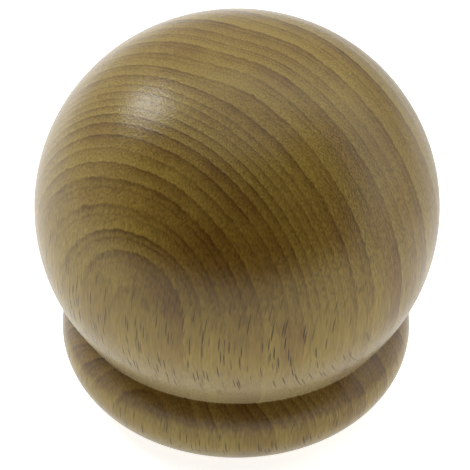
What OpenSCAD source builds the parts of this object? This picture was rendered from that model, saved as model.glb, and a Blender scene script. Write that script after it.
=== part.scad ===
// Wooden ball turned in one piece with a thick round bead for its foot, standing on a flat base.
// It is one solid of revolution about Z: a slightly flattened ball that sinks into the bead below it, so that
// the two rounds meet in one sharp crease all the way round. A blind dowel hole enters the base.

/* [Ball] */
// Largest diameter of the ball
ball_d = 60; // [50:1:80]
// Radius of the small flat that a flattened ball has on its crown
crown_flat_r = 1.5; // [0.5:0.1:4]

/* [Bead foot] */
// Largest diameter of the bead
bead_d = 54.4; // [45:0.2:62]
// Radius of the bead's round edge
bead_r = 8.2; // [6:0.1:10]
// Depth to which the bead's round edge and the ball pass into each other
bead_sink = 8.7; // [6:0.1:11]
// Height that the flat base takes off the bead's round edge
base_cut = 0.5; // [0.2:0.1:2]

/* [Dowel hole] */
// Diameter of the blind hole in the base
dowel_d = 10; // [6:0.5:16]
// Depth of the hole's straight wall
dowel_depth = 25; // [12:1:35]
// Point angle of the drill that made the hole
drill_point_angle = 118; // [90:1:140]

/* [Hidden] */
$fn = 180;
wood_colour = "#93804f";

// The two arcs of the profile: the ball's is centred off the axis by its crown flat
ball_arc_r = ball_d / 2 - crown_flat_r;
bead_centre = [bead_d / 2 - bead_r, bead_r - base_cut];

// The ball sits over the bead at the height that makes their two arcs overlap by the sink
centre_gap = ball_arc_r + bead_r - bead_sink;
centre_reach = bead_centre.x - crown_flat_r;
centre_rise = sqrt(centre_gap ^ 2 - centre_reach ^ 2);
ball_centre = [crown_flat_r, bead_centre.y + centre_rise];
crown_h = ball_centre.y + ball_arc_r;

// Cone that the drill's point leaves above the hole's straight wall
drill_point_h = dowel_d / 2 / tan(drill_point_angle / 2);

// Length by which a cutting shape passes the face that it opens
overcut = 1;

// Outline of the ball, from the axis out to its arc
module ball_outline() {
    translate(ball_centre) circle(r = ball_arc_r);
    translate([0, ball_centre.y - ball_arc_r]) square([crown_flat_r, 2 * ball_arc_r]);
}

// Outline of the foot: its round bead and the wood between the bead, the ball and the axis
module foot_outline() {
    translate(bead_centre) circle(r = bead_r);
    polygon([[0, 0], [bead_centre.x, 0], bead_centre, ball_centre, [0, ball_centre.y]]);
}

// Outline of the whole piece on one side of its axis, cut off level at the base
module turned_outline() {
    intersection() {
        square([ball_d, crown_h]);
        union() {
            ball_outline();
            foot_outline();
        }
    }
}

// Blind hole up the axis, with the cone of its drill at the end
module dowel_hole() {
    translate([0, 0, -overcut]) cylinder(d = dowel_d, h = dowel_depth + overcut);
    translate([0, 0, dowel_depth]) cylinder(d1 = dowel_d, d2 = 0, h = drill_point_h);
}

module turned_ball() {
    color(wood_colour) difference() {
        rotate_extrude() turned_outline();
        dowel_hole();
    }
}

turned_ball();
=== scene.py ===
from math import atan2, cos, exp, pi, radians, sin, sqrt, tan

import bpy
import numpy as np
from mathutils import Matrix, Quaternion, Vector


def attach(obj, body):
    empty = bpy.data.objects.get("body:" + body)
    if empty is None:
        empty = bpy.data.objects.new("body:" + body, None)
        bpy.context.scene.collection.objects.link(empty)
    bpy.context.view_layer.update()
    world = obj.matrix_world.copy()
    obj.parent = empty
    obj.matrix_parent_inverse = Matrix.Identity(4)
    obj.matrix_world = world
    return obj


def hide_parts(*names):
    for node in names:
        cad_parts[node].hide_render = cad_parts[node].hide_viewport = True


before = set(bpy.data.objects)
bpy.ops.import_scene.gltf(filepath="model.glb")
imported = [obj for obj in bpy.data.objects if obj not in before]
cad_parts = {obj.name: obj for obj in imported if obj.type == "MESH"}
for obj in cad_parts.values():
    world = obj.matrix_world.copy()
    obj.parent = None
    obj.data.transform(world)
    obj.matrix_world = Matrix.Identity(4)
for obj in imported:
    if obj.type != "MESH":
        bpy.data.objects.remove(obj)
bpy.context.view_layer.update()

# Sizes of the turned piece, in millimetres, as the solid has them
MM = 0.001
BALL_R = 30.0
CROWN_FLAT_R = 1.5
BEAD_OUTER_R = 27.2
BEAD_R = 8.2
BEAD_SINK = 8.7
BASE_CUT = 0.5
HOLE_R = 5.0
HOLE_DEPTH = 25.0
DRILL_POINT_ANGLE = 118.0

BALL_ARC_R = BALL_R - CROWN_FLAT_R
BEAD_CENTRE = np.array([BEAD_OUTER_R - BEAD_R, BEAD_R - BASE_CUT])
CENTRE_GAP = BALL_ARC_R + BEAD_R - BEAD_SINK
CENTRE_REACH = BEAD_CENTRE[0] - CROWN_FLAT_R
CENTRE_RISE = sqrt(CENTRE_GAP**2 - CENTRE_REACH**2)
BALL_CENTRE = np.array([CROWN_FLAT_R, BEAD_CENTRE[1] + CENTRE_RISE])

# Crease where the two circles cross
ALONG = (BEAD_CENTRE - BALL_CENTRE) / CENTRE_GAP
ACROSS = np.array([-ALONG[1], ALONG[0]])
CREASE_ALONG = (BALL_ARC_R**2 - BEAD_R**2 + CENTRE_GAP**2) / (2 * CENTRE_GAP)
CREASE = BALL_CENTRE + CREASE_ALONG * ALONG + sqrt(BALL_ARC_R**2 - CREASE_ALONG**2) * ACROSS

# Share of the radius that the wood has lost along the rings in drying after it was turned
DRYING = 0.0015

# Distance between the points of the profile as it is drawn
STEP = 0.05

# How the blank was cut from the tree, in degrees. The direction across the growth rings leaves the ball
# on its left front, where they make arches, and the fibre stands nearly upright
RINGS_AZIMUTH = 235.5
RINGS_RISE = -2.1
FIBRE_TWIST = -3.0


def linear(code):
    """An sRGB hex colour as linear red, green, blue and alpha"""
    c = np.array([int(code[i:i + 2], 16) for i in (1, 3, 5)]) / 255
    c = np.where(c <= 0.04045, c / 12.92, ((c + 0.055) / 1.055) ** 2.4)
    return (*c.tolist(), 1.0)


def add(tree, kind, inputs=None, **settings):
    """Adds a node, sets its properties, then links or fills its inputs"""
    made = tree.nodes.new(kind)
    for name, value in settings.items():
        setattr(made, name, value)
    for name, value in (inputs or {}).items():
        if isinstance(value, bpy.types.NodeSocket):
            tree.links.new(value, made.inputs[name])
        else:
            made.inputs[name].default_value = value
    return made


def stretch(start, end):
    """Points on the straight line between two places of the profile, a step apart, its end left off"""
    start, end = np.array(start), np.array(end)
    count = int(np.linalg.norm(end - start) / STEP)
    t = np.arange(count)[:, None] / count
    return (1 - t) * start + t * end


def arc(centre, radius, first, last):
    """Points on a circle's arc between two angles in radians, a step apart, its end left off"""
    count = int(radius * (last - first) / STEP)
    t = first + (last - first) * np.arange(count) / count
    return np.array(centre) + radius * np.stack([np.cos(t), np.sin(t)], 1)


def turned_profile():
    """Profile of the piece as rows of radius and height, from the drill's point up the outside to the crown.

    It joins the hole's cone and wall, the flat base, the bead's arc, the ball's arc from the crease where
    the two circles cross, and the crown flat. A moving average along the profile then eases each corner.
    The second array marks the bare wood of the hole and the base.
    """
    tip = HOLE_DEPTH + HOLE_R / tan(radians(DRILL_POINT_ANGLE / 2))
    base_edge = BEAD_CENTRE[0] + sqrt(BEAD_R**2 - BEAD_CENTRE[1] ** 2)
    crown = BALL_CENTRE[1] + BALL_ARC_R
    bead_from = atan2(-BEAD_CENTRE[1], base_edge - BEAD_CENTRE[0])
    bead_to = atan2(*(CREASE - BEAD_CENTRE)[::-1])
    ball_from = atan2(*(CREASE - BALL_CENTRE)[::-1])
    bare = [
        stretch((0, tip), (HOLE_R, HOLE_DEPTH)),
        stretch((HOLE_R, HOLE_DEPTH), (HOLE_R, 0)),
        stretch((HOLE_R, 0), (base_edge, 0)),
    ]
    lacquered = [
        arc(BEAD_CENTRE, BEAD_R, bead_from, bead_to),
        arc(BALL_CENTRE, BALL_ARC_R, ball_from, pi / 2),
        stretch((CROWN_FLAT_R, crown), (0, crown)),
        np.array([[0, crown]]),
    ]
    is_bare = np.arange(sum(map(len, bare + lacquered))) < sum(map(len, bare))
    line = np.concatenate(bare + lacquered)
    reach = 4
    mirror = np.array([-1, 1])
    padded = np.concatenate([line[reach:0:-1] * mirror, line, line[-2:-reach - 2:-1] * mirror])
    kernel = np.ones(2 * reach + 1) / (2 * reach + 1)
    eased = np.stack([np.convolve(padded[:, k], kernel, "valid") for k in (0, 1)], 1)
    eased[[0, -1], 0] = 0
    return eased, is_bare


def turned_surface(name, around, along, materials):
    """The profile carried round Z: radius r(t) and height z(t) at angle a give (r cos a, r sin a, z).

    The profile's points are set closer where it bends than on the ball and the straight walls. The wood
    has dried after turning and shrinks most along the rings, so r is less by up to DRYING in that
    direction. The rows at both ends lie on the axis and close as fans.
    """
    line, is_bare = turned_profile()
    run = np.concatenate([[0], np.cumsum(np.linalg.norm(np.diff(line, axis=0), axis=1))])
    turn = np.unwrap(np.arctan2(*np.gradient(line, axis=0).T[::-1]))
    bend = np.abs(np.gradient(turn, run))
    window, gather, sharpest = 41, 3.2, 1.2
    bend = np.convolve(bend, np.ones(window) / window, "same")
    share = 1 + gather * np.clip(bend, 0, sharpest)
    count = np.concatenate([[0], np.cumsum(0.5 * (share[1:] + share[:-1]) * np.diff(run))])
    at = np.interp(np.linspace(0, count[-1], along), count, run)
    r = np.interp(at, run, line[:, 0])
    z = np.interp(at, run, line[:, 1])
    bare = np.interp(at, run, is_bare.astype(float))
    a = np.arange(around) * 2 * pi / around
    drying = DRYING * np.cos(a - radians(RINGS_AZIMUTH + 90)) ** 2
    rr = r[1:-1, None] * (1 - drying)[None]
    zz = np.broadcast_to(z[1:-1, None], rr.shape)
    rows = np.stack([rr * np.cos(a), rr * np.sin(a), zz], -1).reshape(-1, 3)
    points = np.concatenate([rows, [[0, 0, z[0]], [0, 0, z[-1]]]]) * MM

    j = np.arange(around)
    k = (j + 1) % around
    i = np.arange(along - 3)[:, None] * around
    quads = np.stack([i + j, i + k, i + around + k, i + around + j], -1).reshape(-1, 4)
    first, last = len(rows), len(rows) + 1
    end = (along - 3) * around
    fans = np.concatenate([
        np.stack([np.full(around, first), k, j], 1),
        np.stack([np.full(around, last), end + j, end + k], 1),
    ])
    mesh = bpy.data.meshes.new(name)
    mesh.from_pydata(points.tolist(), [], quads.tolist() + fans.tolist())
    rows_bare = np.repeat(bare[1:-2] > 0.5, around)
    finish = np.concatenate([rows_bare, np.full(around, bare[0] > 0.5), np.full(around, bare[-1] > 0.5)])
    mesh.polygons.foreach_set("material_index", finish.astype(np.int32))
    mesh.polygons.foreach_set("use_smooth", np.ones(len(finish), bool))
    for material in materials:
        mesh.materials.append(material)
    mesh.update()
    made = bpy.data.objects.new(name, mesh)
    bpy.context.scene.collection.objects.link(made)
    return made


def beech(name, light, dark, brown, roughness, gloss, relief, painted_light_amount):
    """Beech as a solid pattern, in millimetres across the rays, across the rings and along the fibre"""
    material = bpy.data.materials.new(name)
    material.use_nodes = True
    tree = material.node_tree
    tree.nodes.clear()

    # Axes of the wood: across the rays, across the rings, along the fibre
    az, rise, twist = radians(RINGS_AZIMUTH), radians(RINGS_RISE), radians(FIBRE_TWIST)
    rings = Vector((cos(az) * cos(rise), sin(az) * cos(rise), sin(rise)))
    rays = Quaternion(rings, twist) @ Vector((sin(az), -cos(az), 0))
    fibre = rays.cross(rings)
    turn = Matrix((rays, rings, fibre))
    place = turn @ Vector((0, 0, -BALL_CENTRE[1]))
    where = add(tree, "ShaderNodeTexCoord")
    wood = add(tree, "ShaderNodeMapping", {
        "Vector": where.outputs["Object"], "Scale": (1 / MM,) * 3,
        "Rotation": turn.to_euler(), "Location": place}).outputs[0]
    facing = add(tree, "ShaderNodeVectorMath", {0: where.outputs["Normal"], 1: rings},
                 operation="DOT_PRODUCT").outputs["Value"]
    facing = add(tree, "ShaderNodeMath", {0: facing}, operation="ABSOLUTE").outputs[0]

    # Depth across the rings. They bow across the rays and along the fibre, more so low down, and swell in
    # a ridge behind the arches, which keeps its height on down the fibre
    part = add(tree, "ShaderNodeSeparateXYZ", {0: wood})
    low = add(tree, "ShaderNodeClamp", {0: part.outputs[2], 1: -14.0, 2: 0.0}).outputs[0]
    high = add(tree, "ShaderNodeMath", {0: part.outputs[2], 1: 0.0}, operation="MAXIMUM").outputs[0]
    bent = add(tree, "ShaderNodeCombineXYZ", {0: part.outputs[0], 1: low, 2: high}).outputs[0]
    bent = add(tree, "ShaderNodeVectorMath", {0: bent, 1: bent}, operation="MULTIPLY").outputs[0]
    bow = add(tree, "ShaderNodeVectorMath", {0: bent, 1: (0.0027, 0.0150, 0.0051)},
              operation="DOT_PRODUCT").outputs["Value"]
    ridge_x, ridge_z, ridge_r, ridge_h, no_limit = -3.4, 5.4, 8.25, 5.4, -99.0
    ridge = add(tree, "ShaderNodeVectorMath", {
        0: wood, 1: (1 / ridge_r, 0, 1 / ridge_r), 2: (-ridge_x / ridge_r, 0, -ridge_z / ridge_r)},
        operation="MULTIPLY_ADD").outputs[0]
    ridge = add(tree, "ShaderNodeVectorMath", {0: ridge, 1: (no_limit, 0, 0)}, operation="MAXIMUM").outputs[0]
    ridge = add(tree, "ShaderNodeVectorMath", {0: ridge, 1: ridge}, operation="DOT_PRODUCT").outputs["Value"]
    ridge = add(tree, "ShaderNodeMath", {0: exp(-1), 1: ridge}, operation="POWER").outputs[0]
    bow = add(tree, "ShaderNodeMath", {0: ridge, 1: ridge_h, 2: bow}, operation="MULTIPLY_ADD").outputs[0]
    waver = add(tree, "ShaderNodeTexNoise", {"Vector": wood, "Scale": 1 / 14, "Detail": 1.5}).outputs[0]
    waver = add(tree, "ShaderNodeMapRange", {0: waver, 3: -0.2, 4: 0.2}, clamp=False).outputs[0]
    depth = add(tree, "ShaderNodeMath", {0: part.outputs[1], 1: bow}).outputs[0]
    depth = add(tree, "ShaderNodeMath", {0: depth, 1: waver}).outputs[0]

    # The older rings step back on the side away from the ridge
    step = add(tree, "ShaderNodeMapRange", {0: part.outputs[0], 1: -7.0, 2: 5.0, 3: 0.0, 4: -1.3},
               interpolation_type="SMOOTHSTEP").outputs[0]
    older = add(tree, "ShaderNodeMapRange", {0: part.outputs[1], 1: 7.5, 2: 10.0, 3: 1.0, 4: 0.0}).outputs[0]
    depth = add(tree, "ShaderNodeMath", {0: step, 1: older, 2: depth}, operation="MULTIPLY_ADD").outputs[0]

    # Years counted along the depth, as how many and how wide: wide and middling ones behind, a crowded run
    # and fine ones across the front, and the widest in the arches
    years_behind = ((20, 3.3), (2, 2.0), (3, 2.7))
    years_crowded = ((1, 1.65), (5, 0.97), (4, 1.225))
    years_in_arches = ((3, 2.05), (6, 3.4))
    crowded_from = 13.25
    crowded_to = crowded_from + sum(count * width for count, width in years_crowded)
    start = crowded_from - sum(count * width for count, width in years_behind)
    years = 0.0
    for count, width in years_behind + years_crowded + years_in_arches:
        run = add(tree, "ShaderNodeMapRange", {0: depth, 1: start, 2: start + count * width, 3: 0, 4: count})
        years = add(tree, "ShaderNodeMath", {0: years, 1: run.outputs[0]}).outputs[0]
        start += count * width
    rough_edge = add(tree, "ShaderNodeTexNoise", {"Vector": wood, "Scale": 1 / 1.1, "Detail": 2.0}).outputs[0]
    rough_edge = add(tree, "ShaderNodeMapRange", {0: rough_edge, 3: -0.12, 4: 0.12}, clamp=False).outputs[0]
    years = add(tree, "ShaderNodeMath", {0: years, 1: rough_edge}).outputs[0]
    year = add(tree, "ShaderNodeMath", {0: years}, operation="FLOOR").outputs[0]
    season = add(tree, "ShaderNodeMath", {0: years}, operation="FRACT").outputs[0]
    chance = add(tree, "ShaderNodeTexWhiteNoise", {"W": year}, noise_dimensions="1D").outputs["Value"]

    # One broad brown patch on the front, partly the wood's own stain and partly painted shade from the tent's
    # dark open side
    stain_and_shade_x, stain_and_shade_z, stain_and_shade_rx, stain_and_shade_rz = -12.5, 13.8, 13.2, 9.0
    stain_and_shade = add(tree, "ShaderNodeVectorMath", {
        0: wood, 1: (1 / stain_and_shade_rx, 0, 1 / stain_and_shade_rz), 2: (-stain_and_shade_x / stain_and_shade_rx, 0, -stain_and_shade_z / stain_and_shade_rz)},
        operation="MULTIPLY_ADD").outputs[0]
    stain_and_shade = add(tree, "ShaderNodeVectorMath", {0: stain_and_shade, 1: stain_and_shade}, operation="DOT_PRODUCT").outputs["Value"]
    stain_and_shade = add(tree, "ShaderNodeMath", {0: exp(-1), 1: stain_and_shade}, operation="POWER").outputs[0]
    front = add(tree, "ShaderNodeMapRange", {0: part.outputs[1], 1: -12.0, 2: -2.0}).outputs[0]
    stain_and_shade = add(tree, "ShaderNodeMath", {0: stain_and_shade, 1: front}, operation="MULTIPLY").outputs[0]

    # Where the cut follows the rings and the fibre, year lines are soft and rays show as spindles
    along = add(tree, "ShaderNodeVectorMath", {0: where.outputs["Normal"], 1: fibre},
                operation="DOT_PRODUCT").outputs["Value"]
    lying = add(tree, "ShaderNodeMapRange", {0: along, 1: 0.08, 2: 0.46, 3: 1.0, 4: 0.0}).outputs[0]
    seen = add(tree, "ShaderNodeMapRange", {0: facing, 1: 0.1, 2: 0.6, 3: 0.1, 4: 1.0}).outputs[0]
    seen = add(tree, "ShaderNodeMath", {0: seen, 1: lying}, operation="MULTIPLY").outputs[0]

    # A thin dark line at the year's end, which fades into pale wood, in red. Green has a weaker line more,
    # for the wide years on both sides of the crowded run
    late = add(tree, "ShaderNodeValToRGB", {0: season})
    late.color_ramp.elements[0].color = (0.7, 0.7, 0, 1)
    late.color_ramp.elements[1].color = (0.4, 0.4, 0, 1)
    for spot, plain, double in ((0.05, 1.0, 1.0), (0.1, 0.95, 0.95), (0.2, 0.72, 0.55), (0.3, 0.58, 0.42),
                                (0.38, 0.5, 0.85), (0.46, 0.42, 0.44), (0.8, 0.1, 0.12), (0.94, 0.0, 0.0)):
        late.color_ramp.elements.new(spot).color = (plain, double, 0, 1)
    late = add(tree, "ShaderNodeSeparateColor", {0: late.outputs[0]})
    crowded_mid, crowded_half = (crowded_from + crowded_to) / 2, (crowded_to - crowded_from) / 2
    crowded = add(tree, "ShaderNodeMath", {0: depth, 1: crowded_mid}, operation="SUBTRACT").outputs[0]
    crowded = add(tree, "ShaderNodeMath", {0: crowded}, operation="ABSOLUTE").outputs[0]
    crowded = add(tree, "ShaderNodeMath", {0: crowded, 1: crowded_half}, operation="LESS_THAN").outputs[0]
    late = add(tree, "ShaderNodeMix", {0: crowded, 2: late.outputs[1], 3: late.outputs[0]}).outputs[0]
    strength = add(tree, "ShaderNodeMapRange", {0: chance, 3: 0.58, 4: 0.92}).outputs[0]
    flank = add(tree, "ShaderNodeVectorMath", {0: where.outputs["Normal"], 1: rays},
                operation="DOT_PRODUCT").outputs["Value"]
    flank = add(tree, "ShaderNodeMath", {0: flank}, operation="ABSOLUTE").outputs[0]
    flank = add(tree, "ShaderNodeMapRange", {0: flank, 1: 0.3, 2: 0.8, 3: 1.0, 4: 0.78}).outputs[0]
    strength = add(tree, "ShaderNodeMath", {0: strength, 1: flank}, operation="MULTIPLY").outputs[0]
    uneven = add(tree, "ShaderNodeTexNoise", {"Vector": wood, "Scale": 1 / 4.5, "Detail": 2.0}).outputs[0]
    uneven = add(tree, "ShaderNodeMapRange", {0: uneven, 1: 0.3, 2: 0.7, 3: 0.6, 4: 1.2}).outputs[0]
    strength = add(tree, "ShaderNodeMath", {0: strength, 1: uneven}, operation="MULTIPLY").outputs[0]
    soft = add(tree, "ShaderNodeMapRange", {0: seen, 3: 1.0, 4: 0.28}).outputs[0]
    strength = add(tree, "ShaderNodeMath", {0: strength, 1: soft}, operation="MULTIPLY").outputs[0]
    late = add(tree, "ShaderNodeMath", {0: late, 1: strength}, operation="MULTIPLY").outputs[0]

    # Rays: thin upright sheets, cut here into dark spindles
    ray_thick, ray_deep, ray_tall = 0.2, 6.0, 3.8
    spindle = add(tree, "ShaderNodeVectorMath", {0: wood, 1: (1 / ray_thick, 1 / ray_deep, 1 / ray_tall)},
                  operation="MULTIPLY").outputs[0]
    ray = add(tree, "ShaderNodeTexVoronoi", {"Vector": spindle, "Scale": 1.0})
    core = add(tree, "ShaderNodeMapRange", {0: ray.outputs["Distance"], 1: 0.24, 2: 0.46, 3: 1.0, 4: 0.0},
               interpolation_type="SMOOTHSTEP").outputs[0]
    pick = add(tree, "ShaderNodeSeparateColor", {0: ray.outputs["Color"]}).outputs[0]
    pick = add(tree, "ShaderNodeMapRange", {0: pick, 1: 0.6, 2: 0.82}).outputs[0]
    fleck = add(tree, "ShaderNodeMath", {0: core, 1: pick}, operation="MULTIPLY").outputs[0]
    fleck = add(tree, "ShaderNodeMath", {0: fleck, 1: seen}, operation="MULTIPLY").outputs[0]
    under = add(tree, "ShaderNodeMapRange", {0: along, 1: -0.45, 2: -0.25}).outputs[0]
    fleck = add(tree, "ShaderNodeMath", {0: fleck, 1: under}, operation="MULTIPLY").outputs[0]

    # Fibres, drawn coarser than real ones so that they show, and slow patches of warmer wood
    fibre_thick, fibre_long = 0.26, 4.0
    grain = add(tree, "ShaderNodeVectorMath", {0: wood, 1: (1 / fibre_thick, 1 / fibre_thick, 1 / fibre_long)},
                operation="MULTIPLY").outputs[0]
    grain = add(tree, "ShaderNodeTexNoise", {"Vector": grain, "Scale": 1.0, "Detail": 3.0}).outputs[0]
    patch = add(tree, "ShaderNodeTexNoise", {"Vector": wood, "Scale": 1 / 12, "Detail": 2.0}).outputs[0]
    patch = add(tree, "ShaderNodeMapRange", {0: patch, 1: 0.35, 2: 0.7}).outputs[0]

    # Colour: pale and late wood, some years warmer than others by a draw of their own, the front's stain and
    # painted shade, and the fibres
    tone = add(tree, "ShaderNodeMix", {0: late, 6: linear(light), 7: linear(dark)}, data_type="RGBA").outputs[2]
    warm = add(tree, "ShaderNodeMath", {0: chance, 1: 0.9}, operation="ADD").outputs[0]
    warm = add(tree, "ShaderNodeTexWhiteNoise", {"W": warm}, noise_dimensions="1D").outputs["Value"]
    warm = add(tree, "ShaderNodeMath", {0: warm, 1: patch}, operation="MULTIPLY").outputs[0]
    warm = add(tree, "ShaderNodeMath", {0: warm, 1: 0.7}, operation="MULTIPLY").outputs[0]
    tone = add(tree, "ShaderNodeMix", {0: warm, 6: tone, 7: linear(brown)}, data_type="RGBA",
               blend_type="MULTIPLY").outputs[2]
    # Stain and painted shade on the front: the patch darkens the wood towards brown
    tone = add(tree, "ShaderNodeMix", {0: stain_and_shade, 6: tone, 7: linear("#c4b08c")}, data_type="RGBA",
               blend_type="MULTIPLY").outputs[2]
    quiet = add(tree, "ShaderNodeMapRange", {0: seen, 3: 0.4, 4: 0.24}).outputs[0]
    shade = add(tree, "ShaderNodeMapRange", {0: grain, 1: 0.25, 2: 0.75, 3: -1.0, 4: 1.0}).outputs[0]
    shade = add(tree, "ShaderNodeMath", {0: shade, 1: quiet, 2: 1.0}, operation="MULTIPLY_ADD").outputs[0]
    tone = add(tree, "ShaderNodeVectorMath", {0: tone, "Scale": shade}, operation="SCALE").outputs[0]

    # Painted light: painted shade darkens the bead's shoulder just under the crease, and a painted reflection of
    # the white floor makes the undersides of ball and bead pale
    height = add(tree, "ShaderNodeSeparateXYZ", {0: where.outputs["Object"]}).outputs[2]
    on_bead = add(tree, "ShaderNodeMath", {0: height, 1: CREASE[1] * MM}, operation="LESS_THAN").outputs[0]
    # Painted shade on the bead's shoulder: full from the crease down to 10.4 mm high, gone by 9.2 mm
    crease_shade_from, crease_shade_to = 9.2 * MM, 10.4 * MM
    crease_shade = add(tree, "ShaderNodeMapRange", {0: height, 1: crease_shade_from, 2: crease_shade_to, 4: painted_light_amount}).outputs[0]
    crease_shade = add(tree, "ShaderNodeMath", {0: crease_shade, 1: on_bead}, operation="MULTIPLY").outputs[0]
    tone = add(tree, "ShaderNodeMix", {0: crease_shade, 6: tone, 7: linear("#d8cbc4")}, data_type="RGBA",
               blend_type="MULTIPLY").outputs[2]
    # Painted reflection of the white floor: where the surface faces down across the fibre, the wood turns pale
    # grey
    floor_reflection = add(tree, "ShaderNodeMapRange", {0: along, 1: -0.41, 2: -0.1, 3: 0.3 * painted_light_amount, 4: 0.0}).outputs[0]
    tone = add(tree, "ShaderNodeMix", {0: floor_reflection, 6: tone, 7: linear("#a8a596")}, data_type="RGBA").outputs[2]
    hide = add(tree, "ShaderNodeMath", {0: fleck, 1: 0.9}, operation="MULTIPLY").outputs[0]
    tone = add(tree, "ShaderNodeMix", {0: hide, 6: tone, 7: linear("#432d0e")}, data_type="RGBA").outputs[2]

    # Lacquer follows the grain a little: late wood stands proud and rays lie low
    proud = add(tree, "ShaderNodeMath", {0: late, 1: 0.3, 2: grain}, operation="MULTIPLY_ADD").outputs[0]
    proud = add(tree, "ShaderNodeMath", {0: proud, 1: fleck}, operation="SUBTRACT").outputs[0]
    bump = add(tree, "ShaderNodeBump", {"Strength": 1.0, "Distance": relief * MM, "Height": proud}).outputs[0]
    rough = add(tree, "ShaderNodeMapRange", {0: grain, 3: roughness - 0.06, 4: roughness + 0.06}).outputs[0]
    shader = add(tree, "ShaderNodeBsdfPrincipled", {
        "Base Color": tone, "Roughness": rough, "Specular IOR Level": gloss, "Normal": bump})
    add(tree, "ShaderNodeOutputMaterial", {"Surface": shader.outputs[0]})
    return material


# Beech, turned, sanded and sprayed with clear satin lacquer: honey brown with dark year lines and a
# soft broad shine. Under the base and in the hole the wood is bare, paler and dull
lacquered = beech("beech_turned_and_lacquered", "#a38b43", "#684b20", "#c4a3a8", 0.24, 0.34, 0.045, 1.0)
bare = beech("beech_cut_and_bare", "#b9a375", "#86693c", "#d8bfb8", 0.75, 0.2, 0.04, 0.0)

turned_ball = turned_surface("turned_ball_beech", 256, 330, [lacquered, bare])
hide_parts("turned_ball")
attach(turned_ball, "root")

# Pale floor, a white cloth with light under it. The part of it behind on the right, which the ball's right
# edge mirrors, glows less
half_side = 2.0
ground = bpy.data.meshes.new("floor")
ground.from_pydata([(-half_side, -half_side, 0), (half_side, -half_side, 0),
                    (half_side, half_side, 0), (-half_side, half_side, 0)], [], [(0, 1, 2, 3)])
floor = bpy.data.objects.new("floor", ground)
bpy.context.scene.collection.objects.link(floor)
cloth = bpy.data.materials.new("white_cloth_lit_from_below")
cloth.use_nodes = True
weave = cloth.node_tree
glow_full, glow_dim, glow_to_camera = 0.56, 0.18, 0.8
spot = add(weave, "ShaderNodeTexCoord").outputs["Object"]
spot = add(weave, "ShaderNodeSeparateXYZ", {0: spot})
right = add(weave, "ShaderNodeMapRange", {0: spot.outputs[0], 1: 20 * MM, 2: 50 * MM}).outputs[0]
behind = add(weave, "ShaderNodeMapRange", {0: spot.outputs[1], 1: 10 * MM, 2: 40 * MM}).outputs[0]
dim = add(weave, "ShaderNodeMath", {0: right, 1: behind}, operation="MULTIPLY").outputs[0]
glow = add(weave, "ShaderNodeMapRange", {0: dim, 3: glow_full, 4: glow_dim}).outputs[0]
path = add(weave, "ShaderNodeLightPath").outputs["Is Camera Ray"]
glow = add(weave, "ShaderNodeMapRange", {0: path, 3: glow, 4: glow_to_camera}).outputs[0]
surface = weave.nodes["Principled BSDF"]
surface.inputs["Base Color"].default_value = (0.9, 0.9, 0.9, 1)
surface.inputs["Roughness"].default_value = 0.9
surface.inputs["Specular IOR Level"].default_value = 0.0
surface.inputs["Emission Color"].default_value = (1, 1, 1, 1)
weave.links.new(glow, surface.inputs["Emission Strength"])
ground.materials.append(cloth)

# Camera, placed and turned as the photograph's
camera = bpy.data.objects.new("camera", bpy.data.cameras.new("camera"))
camera.data.lens = 123.5
camera.data.sensor_width = 36
camera.location = Vector((0, -189.65, 176.64)) * MM
aim = Vector((-0.267, 0, 24.157)) * MM
roll = radians(0.49)
camera.rotation_mode = "QUATERNION"
camera.rotation_quaternion = ((aim - camera.location).to_track_quat("-Z", "Y")
                              @ Quaternion((0, 0, 1), roll))
bpy.context.scene.collection.objects.link(camera)
bpy.context.scene.camera = camera

# White tent round the object, open on the camera's side and brighter on the right
world = bpy.data.worlds.new("white_tent")
bpy.context.scene.world = world
world.use_nodes = True
sky = world.node_tree
sky.nodes.clear()
direction = add(sky, "ShaderNodeTexCoord").outputs["Generated"]
camera_way = (0.0, -0.79, 0.613)
towards = add(sky, "ShaderNodeVectorMath", {0: direction, 1: camera_way},
              operation="DOT_PRODUCT").outputs["Value"]
side = add(sky, "ShaderNodeSeparateXYZ", {0: direction}).outputs[0]
side = add(sky, "ShaderNodeMapRange", {0: side, 1: 0.1, 2: 0.6}).outputs[0]
lift = add(sky, "ShaderNodeMapRange", {0: towards, 1: -0.45, 2: 0.05, 3: -0.34, 4: 1.15}).outputs[0]
back = add(sky, "ShaderNodeMapRange", {0: towards, 1: -0.8, 2: -0.35, 3: 0.44, 4: 0.74}).outputs[0]
side = add(sky, "ShaderNodeMath", {0: side, 1: lift, 2: back}, operation="MULTIPLY_ADD").outputs[0]
level = add(sky, "ShaderNodeMapRange", {0: towards, 1: 0.2, 2: 0.45, 3: 1.0, 4: 0.0}).outputs[0]
level = add(sky, "ShaderNodeMath", {0: level, 1: side}, operation="MULTIPLY").outputs[0]
walls = add(sky, "ShaderNodeBackground", {"Color": (1, 1, 1, 1), "Strength": level}).outputs[0]
white = add(sky, "ShaderNodeBackground", {"Color": (1, 1, 1, 1), "Strength": 1.0}).outputs[0]
path = add(sky, "ShaderNodeLightPath").outputs["Is Camera Ray"]
both = add(sky, "ShaderNodeMixShader", {0: path, 1: walls, 2: white}).outputs[0]
add(sky, "ShaderNodeOutputWorld", {"Surface": both})

# Two round lamps turned to the ball's centre: a small one behind on the left, and a broad one overhead
ball_at = Vector((0, 0, BALL_CENTRE[1] * MM))
lamp_distance = 0.8
for name, size, watts, way in (("soft_lamp", 0.2, 2.0, (-0.626, 0.347, 0.714)),
                               ("top_box", 0.9, 2.3, (0, 0.12, 0.993))):
    lamp = bpy.data.objects.new(name, bpy.data.lights.new(name, "AREA"))
    lamp.data.shape = "DISK"
    lamp.data.size = size
    lamp.data.energy = watts
    lamp.location = Vector(way) * lamp_distance + ball_at
    lamp.rotation_mode = "QUATERNION"
    lamp.rotation_quaternion = (ball_at - lamp.location).to_track_quat("-Z", "Y")
    bpy.context.scene.collection.objects.link(lamp)

bpy.context.scene.view_settings.view_transform = "Standard"
